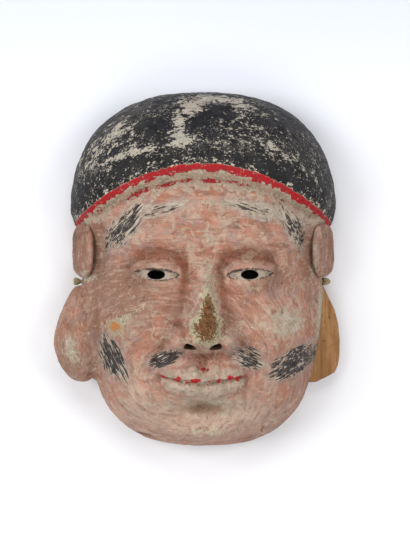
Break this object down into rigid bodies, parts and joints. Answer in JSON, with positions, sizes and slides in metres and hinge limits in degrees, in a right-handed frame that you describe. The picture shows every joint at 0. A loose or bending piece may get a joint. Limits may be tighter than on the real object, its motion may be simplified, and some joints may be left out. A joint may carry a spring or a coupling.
{
  "type": "carved wooden mask",
  "caption": "Japanese carved and painted wooden face mask: soft cap, long ear lobes with the right lobe broken, hollow back and hanging cord.",
  "frame": {"origin": "on the flat rim's plane, under the middle of the mask's box as it lies face up", "axes": "+X to the viewer's right, +Y from the chin to the crown, +Z out of the face"},
  "size_m": [0.1784, 0.2218, 0.0877],
  "materials": {
    "painted_wood": "worn matt paint over a pale ground on carved wood",
    "cord_fibre": "twisted plant fibre"
  },
  "bodies": {
    "root": {"mask": "painted_wood", "hanging_cord": "cord_fibre", "left_knot": "cord_fibre", "right_knot": "cord_fibre"}
  },
  "joints": []
}
